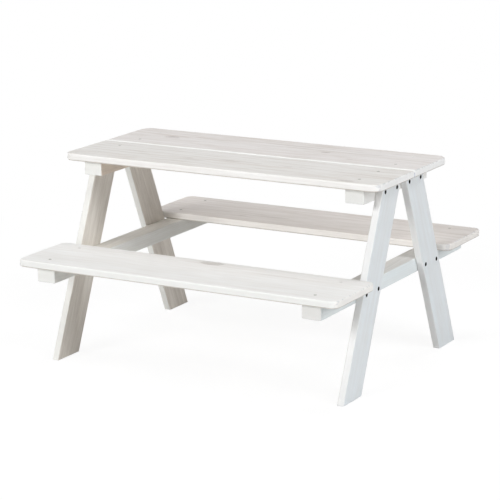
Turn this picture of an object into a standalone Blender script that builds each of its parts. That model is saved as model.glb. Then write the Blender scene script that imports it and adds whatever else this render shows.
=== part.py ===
"""Children's picnic table: a two-board top and two seats on splayed board legs.

X runs along the table, Y across it from the front seat to the rear seat, Z up.
The origin is on the floor, in the middle of the table. Sizes are in metres.
"""

import math

import bmesh
import bpy
from mathutils import Matrix

# Overall sizes: the boards of the tabletop and of the seats run the whole length
TABLE_LENGTH = 0.870
TABLE_HEIGHT = 0.500
SEAT_HEIGHT = 0.275

# Tabletop boards
TABLETOP_WIDTH = 0.388
TABLETOP_THICKNESS = 0.018
TABLETOP_SEAM = 0.0012
TABLETOP_CORNER_RADIUS = 0.026
TABLETOP_SEAM_CORNER_RADIUS = 0.005
TABLETOP_EDGE_RADIUS = 0.004

# Seat boards, which lie just outside the legs
SEAT_WIDTH = 0.201
SEAT_THICKNESS = 0.018
SEAT_LEG_GAP = 0.003
SEAT_CORNER_RADIUS = 0.020
SEAT_EDGE_RADIUS = 0.004

# Legs: boards that lean apart from the top to the floor, with the gaps between each pair
LEG_WIDTH = 0.086
LEG_THICKNESS = 0.018
LEG_INSET_FROM_END = 0.0295
LEG_TOP_GAP = 0.0223
LEG_FLOOR_GAP = 0.4383
LEG_EDGE_RADIUS = 0.0025
LEG_END_CHAMFER = 0.001

# Bearers: battens across the table that carry the tabletop and the seats
BEARER_WIDTH = 0.050
BEARER_HEIGHT = 0.036
TABLE_BEARER_INSET = 0.022
SEAT_BEARER_INSET = 0.018
BEARER_EDGE_RADIUS = 0.002

# Leg bolts and the barrel nuts that they pull on
BOLT_DIAMETER = 0.006
BOLT_HEAD_DIAMETER = 0.009
BOLT_HEAD_HEIGHT = 0.005
BOLT_HEAD_CHAMFER = 0.0006
BOLT_HEAD_SINK = 0.0015
BOLT_SOCKET_WIDTH = 0.005
BOLT_SOCKET_DEPTH = 0.003
BOLT_PAST_NUT = 0.003
BOLT_EDGE_DISTANCE = 0.0155
COUNTERBORE_CLEARANCE = 0.0005
NUT_DIAMETER = 0.010
NUT_LENGTH = 0.020
NUT_SLOT_WIDTH = 0.0015
NUT_SLOT_DEPTH = 0.0015

# Countersunk wood screws through the boards into the bearers
SCREW_DIAMETER = 0.004
SCREW_HEAD_DIAMETER = 0.008
SCREW_HEAD_CONE = 0.0022
SCREW_HEAD_RIM = 0.0004
SCREW_HEAD_SINK = 0.0003
SCREW_POINT_LENGTH = 0.005
SCREW_POINT_DIAMETER = 0.0008
SCREW_POINT_COVER = 0.008
TABLETOP_SCREW_EDGE_DISTANCE = 0.047
SEAT_SCREW_EDGE_DISTANCE = 0.037

# Gap between pieces that touch, and how far a cutter runs past the wood it cuts
SEATING_GAP = 0.0003
CUT_OVERRUN = 0.002

# Facets of the rounded shapes
CORNER_FACETS = 4
EDGE_FACETS = 3
ARRIS_FACETS = 2
FASTENER_FACETS = 12
SOCKET_FACETS = 6
SMOOTH_ANGLE = math.radians(40)
LEVEL_NORMAL = 0.99

# Places that follow from the sizes above
LEG_HEIGHT = TABLE_HEIGHT - TABLETOP_THICKNESS - SEATING_GAP
LEG_LEAN = (LEG_FLOOR_GAP - LEG_TOP_GAP) / 2 / LEG_HEIGHT
LEG_LEVEL_WIDTH = LEG_WIDTH * math.sqrt(1 + LEG_LEAN ** 2)
LEG_FLOOR_REACH = LEG_FLOOR_GAP / 2 + LEG_LEVEL_WIDTH / 2
LEG_OUTER_X = TABLE_LENGTH / 2 - LEG_INSET_FROM_END
LEG_MIDDLE_X = LEG_OUTER_X - LEG_THICKNESS / 2
BEARER_OUTER_X = LEG_OUTER_X - LEG_THICKNESS - SEATING_GAP
BEARER_MIDDLE_X = BEARER_OUTER_X - BEARER_WIDTH / 2
TABLE_BEARER_Z = TABLE_HEIGHT - TABLETOP_THICKNESS - SEATING_GAP - BEARER_HEIGHT / 2
SEAT_UNDERSIDE_Z = SEAT_HEIGHT - SEAT_THICKNESS
SEAT_BEARER_Z = SEAT_UNDERSIDE_Z - SEATING_GAP - BEARER_HEIGHT / 2
TABLETOP_BOARD_WIDTH = (TABLETOP_WIDTH - TABLETOP_SEAM) / 2
TABLETOP_BOARD_Y = (TABLETOP_WIDTH - TABLETOP_BOARD_WIDTH) / 2
LEG_REACH_UNDER_SEAT = LEG_FLOOR_REACH - LEG_LEAN * SEAT_UNDERSIDE_Z
SEAT_INNER_Y = LEG_REACH_UNDER_SEAT + LEG_LEVEL_WIDTH / 2 + SEAT_LEG_GAP
SEAT_BOARD_Y = SEAT_INNER_Y + SEAT_WIDTH / 2
TABLE_BEARER_LENGTH = TABLETOP_WIDTH - 2 * TABLE_BEARER_INSET
SEAT_BEARER_LENGTH = 2 * (SEAT_INNER_Y + SEAT_WIDTH - SEAT_BEARER_INSET)
BOLT_OFFSET = LEG_LEVEL_WIDTH / 2 - BOLT_EDGE_DISTANCE
COUNTERBORE_DIAMETER = BOLT_HEAD_DIAMETER + 2 * COUNTERBORE_CLEARANCE
COUNTERBORE_DEPTH = BOLT_HEAD_SINK + BOLT_HEAD_HEIGHT + SEATING_GAP
BOLT_HOLE_DIAMETER = BOLT_DIAMETER + 2 * SEATING_GAP
BOLT_SEAT_X = LEG_OUTER_X - BOLT_HEAD_SINK - BOLT_HEAD_HEIGHT
BOLT_TIP_X = BEARER_MIDDLE_X - NUT_DIAMETER / 2 - BOLT_PAST_NUT
BOLT_LENGTH = BOLT_SEAT_X - BOLT_TIP_X
NUT_HOLE_DIAMETER = NUT_DIAMETER + 2 * SEATING_GAP
SCREW_BITE = BEARER_HEIGHT - SCREW_POINT_COVER
SCREW_HOLE_DIAMETER = SCREW_DIAMETER + 2 * SEATING_GAP
COUNTERSINK_DIAMETER = SCREW_HEAD_DIAMETER + 2 * SEATING_GAP

SIDES = {"left": -1, "right": 1}
DEPTHS = {"front": -1, "rear": 1}
LEVELS = {"table": TABLE_BEARER_Z, "seat": SEAT_BEARER_Z}
PLACES = {"inner": -1, "outer": 1}


def clear_scene():
    """Empties the scene of every object."""
    for thing in list(bpy.data.objects):
        bpy.data.objects.remove(thing, do_unlink=True)


def make_material(name, colour, roughness, metallic=0.0):
    """Makes a material with one surface shader."""
    material = bpy.data.materials.new(name)
    material.use_nodes = True
    shader = material.node_tree.nodes["Principled BSDF"]
    shader.inputs["Base Color"].default_value = (*colour, 1.0)
    shader.inputs["Roughness"].default_value = roughness
    shader.inputs["Metallic"].default_value = metallic
    return material


def make_materials():
    """Makes the glazed wood of each kind of board and the metals of the fasteners."""
    return {
        "tabletop": make_material("glazed_tabletop", (0.70, 0.67, 0.63), 0.55),
        "seat": make_material("glazed_seat", (0.76, 0.73, 0.70), 0.55),
        "leg": make_material("glazed_leg", (0.68, 0.70, 0.71), 0.60),
        "bearer": make_material("glazed_bearer", (0.62, 0.59, 0.55), 0.60),
        "bolt": make_material("black_steel", (0.015, 0.015, 0.017), 0.45, 0.9),
        "nut": make_material("bright_steel", (0.55, 0.55, 0.55), 0.35, 1.0),
        "screw": make_material("zinc_steel", (0.48, 0.48, 0.48), 0.40, 1.0),
    }


def finish_mesh(bm, name):
    """Turns the working mesh into a mesh with its faces pointing out and round parts smooth."""
    bmesh.ops.recalc_face_normals(bm, faces=bm.faces)
    mesh = bpy.data.meshes.new(name)
    bm.to_mesh(mesh)
    bm.free()
    mesh.shade_smooth()
    mesh.set_sharp_from_angle(angle=SMOOTH_ANGLE)
    return mesh


def place(name, mesh, material, parent, location, rotation=(0, 0, 0)):
    """Adds one named piece to the table."""
    piece = bpy.data.objects.new(name, mesh)
    bpy.context.collection.objects.link(piece)
    if not mesh.materials:
        mesh.materials.append(material)
    piece.parent = parent
    piece.location = location
    piece.rotation_euler = rotation
    return piece


def cut(mesh, cutters):
    """Cuts each cutter mesh in turn out of the mesh, and returns the mesh that is left."""
    body = bpy.data.objects.new("body", mesh)
    tools = []
    bpy.context.collection.objects.link(body)
    for cutter in cutters:
        tool = bpy.data.objects.new("tool", cutter)
        bpy.context.collection.objects.link(tool)
        tools.append(tool)
        boolean = body.modifiers.new("cut", "BOOLEAN")
        boolean.operation = "DIFFERENCE"
        boolean.solver = "EXACT"
        boolean.object = tool
    evaluated = body.evaluated_get(bpy.context.evaluated_depsgraph_get())
    result = bpy.data.meshes.new_from_object(evaluated)
    result.name = mesh.name
    for thing in [body, *tools]:
        bpy.data.objects.remove(thing, do_unlink=True)
    for spent in [mesh, *cutters]:
        bpy.data.meshes.remove(spent)
    result.shade_smooth()
    result.set_sharp_from_angle(angle=SMOOTH_ANGLE)
    return result


def add_box(bm, size, matrix=Matrix.Identity(4)):
    """Adds a box of the given size around the matrix's origin."""
    scale = Matrix.Diagonal((*size, 1))
    return bmesh.ops.create_cube(bm, size=1, matrix=matrix @ scale)["verts"]


def add_turned(bm, outline, facets, matrix=Matrix.Identity(4)):
    """Adds a closed turned solid from (diameter, height) pairs that run up its axis."""
    diameter, height = outline[0]
    ring = bmesh.ops.create_circle(
        bm, cap_ends=True, radius=diameter / 2, segments=facets,
        matrix=Matrix.Translation((0, 0, height)))["verts"]
    solid = list(ring)
    cap = ring[0].link_faces[0]
    for step, (next_diameter, next_height) in enumerate(outline[1:]):
        grown = bmesh.ops.extrude_face_region(bm, geom=[cap])["geom"]
        if step > 0:
            bmesh.ops.delete(bm, geom=[cap], context="FACES_ONLY")
        ring = [part for part in grown if isinstance(part, bmesh.types.BMVert)]
        cap = next(part for part in grown if isinstance(part, bmesh.types.BMFace))
        ratio = next_diameter / diameter
        bmesh.ops.scale(bm, vec=(ratio, ratio, 1), verts=ring)
        bmesh.ops.translate(bm, vec=(0, 0, next_height - height), verts=ring)
        diameter, height = next_diameter, next_height
        solid.extend(ring)
    bmesh.ops.transform(bm, matrix=matrix, verts=solid)
    return solid


def round_edges(bm, edges, radius, facets):
    """Rounds the given edges over."""
    bmesh.ops.bevel(bm, geom=edges, offset=radius, segments=facets, profile=0.5,
                    affect="EDGES", clamp_overlap=True, material=-1)


def is_upright(edge):
    """True for an edge that runs straight up."""
    span = edge.verts[1].co - edge.verts[0].co
    return abs(span.z) > max(abs(span.x), abs(span.y))


def rim_edges(bm):
    """Finds the edges round the level faces at the top and the bottom of a piece."""
    levels = [face for face in bm.faces if abs(face.normal.z) > LEVEL_NORMAL]
    return list({edge for face in levels for edge in face.edges})


def turned_up_x(side):
    """The turn that lays an upright turned piece along X with its top to the given side."""
    return (0, side * math.pi / 2, 0)


def leg_middle_y(height):
    """How far from the table's middle the leg's centre line is at a height."""
    return LEG_FLOOR_REACH - LEG_LEAN * height


def bolt_y(level, place_sign):
    """How far from the table's middle a bolt is at a bearer's height."""
    return leg_middle_y(level) + place_sign * BOLT_OFFSET


def board_mesh(name, width, thickness, corners, edge_radius, screw_ys):
    """Makes a board, with corner radii by the sign of Y and countersunk screw holes."""
    bm = bmesh.new()
    add_box(bm, (TABLE_LENGTH, width, thickness))
    for sign, radius in corners.items():
        upright = [edge for edge in bm.edges
                   if is_upright(edge) and edge.verts[0].co.y * sign > 0]
        round_edges(bm, upright, radius, CORNER_FACETS)
    bm.normal_update()
    round_edges(bm, rim_edges(bm), edge_radius, EDGE_FACETS)
    return cut(finish_mesh(bm, name), [screw_hole_cutter(thickness, screw_ys)])


def screw_head_heights(thickness):
    """Gives the foot of the head's cone, the foot of its rim and its top, in a board."""
    head_top = thickness / 2 - SCREW_HEAD_SINK
    rim_foot = head_top - SCREW_HEAD_RIM
    return rim_foot - SCREW_HEAD_CONE, rim_foot, head_top


def screw_hole_cutter(thickness, screw_ys):
    """Makes the countersunk holes of one board."""
    cone_foot, rim_foot, _ = screw_head_heights(thickness)
    outline = [
        (SCREW_HOLE_DIAMETER, -thickness / 2 - CUT_OVERRUN),
        (SCREW_HOLE_DIAMETER, cone_foot),
        (COUNTERSINK_DIAMETER, rim_foot),
        (COUNTERSINK_DIAMETER, thickness / 2 + CUT_OVERRUN),
    ]
    bm = bmesh.new()
    for side in SIDES.values():
        for y in screw_ys:
            where = Matrix.Translation((side * BEARER_MIDDLE_X, y, 0))
            add_turned(bm, outline, FASTENER_FACETS, where)
    return finish_mesh(bm, "screw_holes")


def board_screw_offset(width, edge_distance):
    """How far a board's screws are from its own centre line."""
    return width / 2 - edge_distance


def leg_mesh(name, side, depth):
    """Makes one leg around the middle of its foot, leaning in as it goes up."""
    bm = bmesh.new()
    middle = Matrix.Translation((0, 0, LEG_HEIGHT / 2))
    verts = add_box(bm, (LEG_THICKNESS, LEG_LEVEL_WIDTH, LEG_HEIGHT), middle)
    for vert in verts:
        vert.co.y -= depth * LEG_LEAN * vert.co.z
    round_edges(bm, [edge for edge in bm.edges if is_upright(edge)], LEG_EDGE_RADIUS, ARRIS_FACETS)
    bm.normal_update()
    round_edges(bm, rim_edges(bm), LEG_END_CHAMFER, 1)
    return cut(finish_mesh(bm, name), [leg_hole_cutter(side, depth)])


def leg_hole_cutter(side, depth):
    """Makes the counterbored bolt holes of one leg, in the leg's own place."""
    outline = [
        (BOLT_HOLE_DIAMETER, -LEG_THICKNESS / 2 - CUT_OVERRUN),
        (BOLT_HOLE_DIAMETER, LEG_THICKNESS / 2 - COUNTERBORE_DEPTH),
        (COUNTERBORE_DIAMETER, LEG_THICKNESS / 2 - COUNTERBORE_DEPTH),
        (COUNTERBORE_DIAMETER, LEG_THICKNESS / 2 + CUT_OVERRUN),
    ]
    turn = Matrix.Rotation(turned_up_x(side)[1], 4, "Y")
    bm = bmesh.new()
    for level in LEVELS.values():
        for place_sign in PLACES.values():
            y = depth * (bolt_y(level, place_sign) - LEG_FLOOR_REACH)
            add_turned(bm, outline, FASTENER_FACETS, Matrix.Translation((0, y, level)) @ turn)
    return finish_mesh(bm, "leg_holes")


def bearer_mesh(name, length, side, level, screw_ys):
    """Makes one bearer around its own middle, with its screw, nut and bolt holes."""
    bm = bmesh.new()
    add_box(bm, (BEARER_WIDTH, length, BEARER_HEIGHT))
    round_edges(bm, list(bm.edges), BEARER_EDGE_RADIUS, ARRIS_FACETS)
    cutters = [bearer_upright_cutter(level, screw_ys), bearer_bolt_cutter(side, level)]
    return cut(finish_mesh(bm, name), cutters)


def bolt_ys(level):
    """Lists the places of the four bolts along a bearer."""
    return [depth * bolt_y(level, sign) for depth in DEPTHS.values() for sign in PLACES.values()]


def bearer_upright_cutter(level, screw_ys):
    """Makes a bearer's pilot holes from above and its nut holes from below."""
    pilot = [
        (SCREW_HOLE_DIAMETER, BEARER_HEIGHT / 2 - SCREW_BITE - SEATING_GAP),
        (SCREW_HOLE_DIAMETER, BEARER_HEIGHT / 2 + CUT_OVERRUN),
    ]
    nut = [
        (NUT_HOLE_DIAMETER, -BEARER_HEIGHT / 2 - CUT_OVERRUN),
        (NUT_HOLE_DIAMETER, NUT_LENGTH / 2 + SEATING_GAP),
    ]
    bm = bmesh.new()
    for y in screw_ys:
        add_turned(bm, pilot, FASTENER_FACETS, Matrix.Translation((0, y, 0)))
    for y in bolt_ys(level):
        add_turned(bm, nut, FASTENER_FACETS, Matrix.Translation((0, y, 0)))
    return finish_mesh(bm, "bearer_upright_holes")


def bearer_bolt_cutter(side, level):
    """Makes a bearer's bolt holes, from its outer face to just past the bolts' tips."""
    outline = [
        (BOLT_HOLE_DIAMETER, BOLT_TIP_X - BEARER_MIDDLE_X - SEATING_GAP),
        (BOLT_HOLE_DIAMETER, BEARER_WIDTH / 2 + CUT_OVERRUN),
    ]
    turn = Matrix.Rotation(turned_up_x(side)[1], 4, "Y")
    bm = bmesh.new()
    for y in bolt_ys(level):
        add_turned(bm, outline, FASTENER_FACETS, Matrix.Translation((0, y, 0)) @ turn)
    return finish_mesh(bm, "bearer_bolt_holes")


def bolt_mesh():
    """Makes a cap head bolt along Z, with the underside of its head at the origin."""
    head_core = BOLT_HEAD_DIAMETER - 2 * BOLT_HEAD_CHAMFER
    outline = [
        (BOLT_DIAMETER, -BOLT_LENGTH),
        (BOLT_DIAMETER, 0),
        (BOLT_HEAD_DIAMETER, 0),
        (BOLT_HEAD_DIAMETER, BOLT_HEAD_HEIGHT - BOLT_HEAD_CHAMFER),
        (head_core, BOLT_HEAD_HEIGHT),
    ]
    bm = bmesh.new()
    add_turned(bm, outline, FASTENER_FACETS)
    across_corners = BOLT_SOCKET_WIDTH / math.cos(math.pi / SOCKET_FACETS)
    socket = bmesh.new()
    add_turned(socket, [(across_corners, BOLT_HEAD_HEIGHT - BOLT_SOCKET_DEPTH),
                        (across_corners, BOLT_HEAD_HEIGHT + CUT_OVERRUN)], SOCKET_FACETS)
    return cut(finish_mesh(bm, "leg_bolt"), [finish_mesh(socket, "hex_socket")])


def nut_mesh():
    """Makes a barrel nut along Z around its own middle, with its cross bore and its slot."""
    bm = bmesh.new()
    add_turned(bm, [(NUT_DIAMETER, -NUT_LENGTH / 2), (NUT_DIAMETER, NUT_LENGTH / 2)], FASTENER_FACETS)
    bore = bmesh.new()
    half_bore = NUT_DIAMETER / 2 + CUT_OVERRUN
    add_turned(bore, [(BOLT_HOLE_DIAMETER, -half_bore), (BOLT_HOLE_DIAMETER, half_bore)],
               FASTENER_FACETS, Matrix.Rotation(math.pi / 2, 4, "Y"))
    slot = bmesh.new()
    slot_height = NUT_SLOT_DEPTH + CUT_OVERRUN
    slot_middle = -NUT_LENGTH / 2 + NUT_SLOT_DEPTH - slot_height / 2
    add_box(slot, (NUT_DIAMETER + 2 * CUT_OVERRUN, NUT_SLOT_WIDTH, slot_height),
            Matrix.Translation((0, 0, slot_middle)))
    cutters = [finish_mesh(bore, "nut_bore"), finish_mesh(slot, "nut_slot")]
    return cut(finish_mesh(bm, "barrel_nut"), cutters)


def screw_mesh(name, thickness):
    """Makes a countersunk screw along Z, placed as it stands in a board of the thickness."""
    cone_foot, rim_foot, head_top = screw_head_heights(thickness)
    tip = -thickness / 2 - SEATING_GAP - SCREW_BITE
    outline = [
        (SCREW_POINT_DIAMETER, tip),
        (SCREW_DIAMETER, tip + SCREW_POINT_LENGTH),
        (SCREW_DIAMETER, cone_foot),
        (SCREW_HEAD_DIAMETER, rim_foot),
        (SCREW_HEAD_DIAMETER, head_top),
    ]
    bm = bmesh.new()
    add_turned(bm, outline, FASTENER_FACETS)
    return finish_mesh(bm, name)


def build_boards(materials, parent):
    """Places the tabletop's two boards, the two seats and the screws that hold them."""
    top_offset = board_screw_offset(TABLETOP_BOARD_WIDTH, TABLETOP_SCREW_EDGE_DISTANCE)
    seat_offset = board_screw_offset(SEAT_WIDTH, SEAT_SCREW_EDGE_DISTANCE)
    top_z = TABLE_HEIGHT - TABLETOP_THICKNESS / 2
    seat_z = SEAT_HEIGHT - SEAT_THICKNESS / 2
    top_screw = screw_mesh("tabletop_screw", TABLETOP_THICKNESS)
    seat_screw = screw_mesh("seat_screw", SEAT_THICKNESS)
    for depth_name, depth in DEPTHS.items():
        name = f"tabletop_{depth_name}_board"
        corners = {depth: TABLETOP_CORNER_RADIUS, -depth: TABLETOP_SEAM_CORNER_RADIUS}
        mesh = board_mesh(name, TABLETOP_BOARD_WIDTH, TABLETOP_THICKNESS, corners,
                          TABLETOP_EDGE_RADIUS, [-top_offset, top_offset])
        place(name, mesh, materials["tabletop"], parent, (0, depth * TABLETOP_BOARD_Y, top_z))
        place_screws(f"tabletop_{depth_name}", top_screw, materials["screw"], parent,
                     depth, TABLETOP_BOARD_Y, top_offset, top_z)
        name = f"{depth_name}_seat_board"
        corners = {depth: SEAT_CORNER_RADIUS, -depth: SEAT_CORNER_RADIUS}
        mesh = board_mesh(name, SEAT_WIDTH, SEAT_THICKNESS, corners,
                          SEAT_EDGE_RADIUS, [-seat_offset, seat_offset])
        place(name, mesh, materials["seat"], parent, (0, depth * SEAT_BOARD_Y, seat_z))
        place_screws(f"{depth_name}_seat", seat_screw, materials["screw"], parent,
                     depth, SEAT_BOARD_Y, seat_offset, seat_z)


def place_screws(prefix, mesh, material, parent, depth, board_y, offset, board_z):
    """Places the four screws of one board."""
    for side_name, side in SIDES.items():
        for place_name, place_sign in PLACES.items():
            where = (side * BEARER_MIDDLE_X, depth * (board_y + place_sign * offset), board_z)
            place(f"{prefix}_screw_{side_name}_{place_name}", mesh, material, parent, where)


def build_legs(materials, parent):
    """Places the four legs."""
    for side_name, side in SIDES.items():
        for depth_name, depth in DEPTHS.items():
            name = f"{side_name}_{depth_name}_leg"
            where = (side * LEG_MIDDLE_X, depth * LEG_FLOOR_REACH, 0)
            place(name, leg_mesh(name, side, depth), materials["leg"], parent, where)


def build_bearers(materials, parent):
    """Places the two table bearers and the two seat bearers."""
    top_offset = board_screw_offset(TABLETOP_BOARD_WIDTH, TABLETOP_SCREW_EDGE_DISTANCE)
    seat_offset = board_screw_offset(SEAT_WIDTH, SEAT_SCREW_EDGE_DISTANCE)
    kinds = {
        "table": (TABLE_BEARER_LENGTH, TABLETOP_BOARD_Y, top_offset),
        "seat": (SEAT_BEARER_LENGTH, SEAT_BOARD_Y, seat_offset),
    }
    for kind, (length, board_y, offset) in kinds.items():
        screw_ys = [depth * (board_y + sign * offset)
                    for depth in DEPTHS.values() for sign in PLACES.values()]
        for side_name, side in SIDES.items():
            name = f"{side_name}_{kind}_bearer"
            mesh = bearer_mesh(name, length, side, LEVELS[kind], screw_ys)
            where = (side * BEARER_MIDDLE_X, 0, LEVELS[kind])
            place(name, mesh, materials["bearer"], parent, where)


def build_bolts(materials, parent):
    """Places the bolts in the legs and the barrel nuts in the bearers."""
    bolt = bolt_mesh()
    nut = nut_mesh()
    for side_name, side in SIDES.items():
        for depth_name, depth in DEPTHS.items():
            for level_name, level in LEVELS.items():
                for place_name, place_sign in PLACES.items():
                    name = f"{side_name}_{depth_name}_{level_name}"
                    y = depth * bolt_y(level, place_sign)
                    place(f"{name}_bolt_{place_name}", bolt, materials["bolt"], parent,
                          (side * BOLT_SEAT_X, y, level), turned_up_x(side))
                    place(f"{name}_nut_{place_name}", nut, materials["nut"], parent,
                          (side * BEARER_MIDDLE_X, y, level))


def main():
    """Builds the whole table."""
    clear_scene()
    materials = make_materials()
    table = bpy.data.objects.new("picnic_table", None)
    bpy.context.collection.objects.link(table)
    build_boards(materials, table)
    build_legs(materials, table)
    build_bearers(materials, table)
    build_bolts(materials, table)


main()
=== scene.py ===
"""A children's picnic table in white-glazed pine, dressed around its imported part.

X runs along the table, Y across it from the front seat to the rear seat, and Z up. Sizes are
in metres. Each board, screw, bolt and nut of the part is replaced by a finer piece of the same
size in the same place, and every piece has a procedural finish.
"""

import logging
import math
from collections.abc import Callable, Iterable, Sequence
from dataclasses import dataclass
from enum import Enum
from functools import partial
from itertools import product

import bmesh
import bpy
from mathutils import Color, Euler, Matrix, Vector


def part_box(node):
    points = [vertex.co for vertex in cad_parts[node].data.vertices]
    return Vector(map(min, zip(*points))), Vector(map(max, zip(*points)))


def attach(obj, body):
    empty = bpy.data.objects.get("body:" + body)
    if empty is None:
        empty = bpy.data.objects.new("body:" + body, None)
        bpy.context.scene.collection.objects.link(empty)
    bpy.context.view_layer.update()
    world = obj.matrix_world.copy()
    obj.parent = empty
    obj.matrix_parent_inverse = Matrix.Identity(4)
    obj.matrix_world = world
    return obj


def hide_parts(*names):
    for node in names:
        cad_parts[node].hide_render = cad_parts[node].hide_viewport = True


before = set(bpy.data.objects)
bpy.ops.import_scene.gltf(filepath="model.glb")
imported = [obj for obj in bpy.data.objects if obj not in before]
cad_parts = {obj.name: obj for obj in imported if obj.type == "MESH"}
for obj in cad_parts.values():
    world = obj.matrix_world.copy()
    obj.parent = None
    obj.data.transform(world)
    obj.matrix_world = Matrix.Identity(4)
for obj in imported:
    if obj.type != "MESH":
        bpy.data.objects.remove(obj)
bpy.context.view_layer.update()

LOG = logging.getLogger("picnic_table")

ROOT = "root"
TONE_STEPS = 255
QUARTER_TURN = math.pi / 2

# Facets, overruns and tolerances of the modelled solids
CORNER_SEGMENTS = 12
EDGE_SEGMENTS = 6
ARRIS_SEGMENTS = 4
TURNED_SEGMENTS = 32
FLOOR_SEGMENTS = 96
THREAD_STEPS = 6
SOCKET_SIDES = 6
CUT_OVERRUN = 0.002
MERGE_DISTANCE = 0.000002
SMOOTH_ANGLE = math.radians(35)
LEVEL_NORMAL = 0.999
SUPPORT_WIDTH = 0.0012
SUPPORT_ROOM = 4

# Gap between pieces that touch
SEATING_GAP = 0.0003

Colour = tuple[float, float, float, float]
Triple = tuple[float, float, float]
Step = tuple[float, float]
Outline = Sequence[tuple[float, float]]
RadiusRule = Callable[[float, float], float]


def tone(red: float, green: float, blue: float) -> Colour:
    """Gives the linear colour that the nodes need for tones from 0 to 255."""
    colour = Color((red / TONE_STEPS, green / TONE_STEPS, blue / TONE_STEPS))
    return (*colour.from_srgb_to_scene_linear(), 1.0)


def add_object(name: str, data: bpy.types.ID) -> bpy.types.Object:
    """Adds an object to the scene.

    Args:
        name: The object's name.
        data: Its mesh, lamp or camera.

    Returns:
        The object.
    """
    thing = bpy.data.objects.new(name, data)
    bpy.context.scene.collection.objects.link(thing)
    return thing


class Named(Enum):
    """Choices that have a word in the names of pieces."""

    @property
    def word(self) -> str:
        """The choice's word in the names of pieces."""
        return self.name.lower()


class Side(Named):
    """An end of the table along X."""

    LEFT = -1
    RIGHT = 1

    @property
    def outwards(self) -> Matrix:
        """The turn that lays Z down to point out of this end."""
        return Matrix.Rotation(self.value * QUARTER_TURN, 4, "Y")


class Depth(Named):
    """A long side of the table along Y."""

    FRONT = -1
    REAR = 1


class Level(Named):
    """What a bearer carries."""

    TABLE = 1
    SEAT = 0


class Place(Named):
    """Where a fastener of a pair is, seen from the table's middle."""

    INNER = -1
    OUTER = 1


@dataclass(frozen=True)
class Extent:
    """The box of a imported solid."""

    low: Vector
    high: Vector

    @classmethod
    def of(cls, node: str) -> "Extent":
        """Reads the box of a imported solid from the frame."""
        return cls(*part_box(node))

    @property
    def centre(self) -> Vector:
        """The middle of the box."""
        return (self.low + self.high) / 2

    @property
    def size(self) -> Vector:
        """The lengths of the box along X, Y and Z."""
        return self.high - self.low


# Shader maths


class Signal:
    """A socket's value in a material, on which Python's operators add Math nodes."""

    def __init__(self, tree: "Tree", socket: bpy.types.NodeSocket) -> None:
        """Wraps an output socket of the tree."""
        self.tree = tree
        self.socket = socket

    def __add__(self, other: "Value") -> "Signal":
        """Adds."""
        return self.tree.math("ADD", self, other)

    def __radd__(self, other: "Value") -> "Signal":
        """Adds to a number."""
        return self.tree.math("ADD", other, self)

    def __sub__(self, other: "Value") -> "Signal":
        """Subtracts."""
        return self.tree.math("SUBTRACT", self, other)

    def __rsub__(self, other: "Value") -> "Signal":
        """Subtracts from a number."""
        return self.tree.math("SUBTRACT", other, self)

    def __mul__(self, other: "Value") -> "Signal":
        """Multiplies."""
        return self.tree.math("MULTIPLY", self, other)

    def __rmul__(self, other: "Value") -> "Signal":
        """Multiplies a number."""
        return self.tree.math("MULTIPLY", other, self)

    def __truediv__(self, other: "Value") -> "Signal":
        """Divides."""
        return self.tree.math("DIVIDE", self, other)

    def __rtruediv__(self, other: "Value") -> "Signal":
        """Divides a number."""
        return self.tree.math("DIVIDE", other, self)

    def __abs__(self) -> "Signal":
        """Drops the sign."""
        return self.tree.math("ABSOLUTE", self)

    def root(self) -> "Signal":
        """Takes the square root."""
        return self.tree.math("SQRT", self)

    def fraction(self) -> "Signal":
        """Takes what lies past the whole number."""
        return self.tree.math("FRACT", self)

    def floor(self) -> "Signal":
        """Rounds down to a whole number."""
        return self.tree.math("FLOOR", self)

    def bell(self) -> "Signal":
        """Gives 1 at zero, falling off to both sides as e to minus the square."""
        return self.tree.math("EXPONENT", 0 - self * self)

    def least(self, other: "Value") -> "Signal":
        """Takes the smaller of two values."""
        return self.tree.math("MINIMUM", self, other)

    def most(self, other: "Value") -> "Signal":
        """Takes the larger of two values."""
        return self.tree.math("MAXIMUM", self, other)

    def step(self, low: float, high: float) -> "Signal":
        """Rises smoothly from 0 to 1 between two values.

        Args:
            low: The value at which it leaves 0.
            high: The value at which it reaches 1.

        Returns:
            The step.
        """
        return Signal(self.tree, self.tree.node(
            "ShaderNodeMapRange", {"interpolation_type": "SMOOTHSTEP"},
            {"Value": self, "From Min": low, "From Max": high}).outputs["Result"])


Value = Signal | float
Input = Signal | float | Vector | Euler | tuple[float, ...]


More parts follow.
